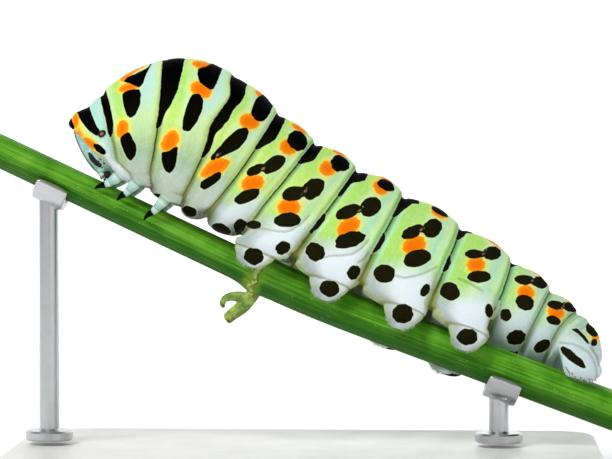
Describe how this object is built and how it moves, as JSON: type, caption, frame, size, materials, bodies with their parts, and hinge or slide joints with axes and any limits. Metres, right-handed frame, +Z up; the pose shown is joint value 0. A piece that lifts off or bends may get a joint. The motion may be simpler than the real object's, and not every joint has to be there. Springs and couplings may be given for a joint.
{
  "type": "swallowtail larva",
  "caption": "Plump pale green swallowtail larva with black bars and orange spots, gripping a short cut stem that two rods hold over a flat display base.",
  "frame": {"origin": "middle of the display base's underside, which rests on the floor", "axes": "+X from the larva's head towards its tail, along the base; -Y is the side that the larva's left flank faces; +Z up"},
  "size_m": [0.0457, 0.022, 0.0302],
  "materials": {
    "skin": "soft satin skin, pale green to white, with black bands and orange spots",
    "head_shell": "smooth satin shell",
    "eye": "glossy black",
    "jaw": "satin dark horn",
    "leg": "satin, pale blue green with dark claws",
    "stem": "satin ribbed green stem",
    "shoot": "satin cut side shoot",
    "stand_white": "satin off-white",
    "stand_steel": "fine brushed"
  },
  "bodies": {
    "root": {"head": "head_shell", "eye_left": "eye", "antenna_left": "head_shell", "eye_right": "eye", "antenna_right": "head_shell", "jaws": "jaw", "thorax_1": "skin", "thorax_2": "skin", "thorax_3": "skin", "abdomen_1": "skin", "abdomen_2": "skin", "abdomen_3": "skin", "abdomen_4": "skin", "abdomen_5": "skin", "abdomen_6": "skin", "abdomen_7": "skin", "abdomen_8": "skin", "abdomen_9": "skin", "abdomen_10": "skin", "leg_left_1": "leg", "leg_right_1": "leg", "leg_left_2": "leg", "leg_right_2": "leg", "leg_left_3": "leg", "leg_right_3": "leg", "proleg_left_3": "skin", "proleg_right_3": "skin", "proleg_left_4": "skin", "proleg_right_4": "skin", "proleg_left_5": "skin", "proleg_right_5": "skin", "proleg_left_6": "skin", "proleg_right_6": "skin", "anal_proleg_left": "skin", "anal_proleg_right": "skin", "perch_stem": "stem", "perch_shoot": "shoot", "stand_base": "stand_white", "stand_rod_high": "stand_steel", "stand_rod_low": "stand_steel"}
  },
  "joints": []
}
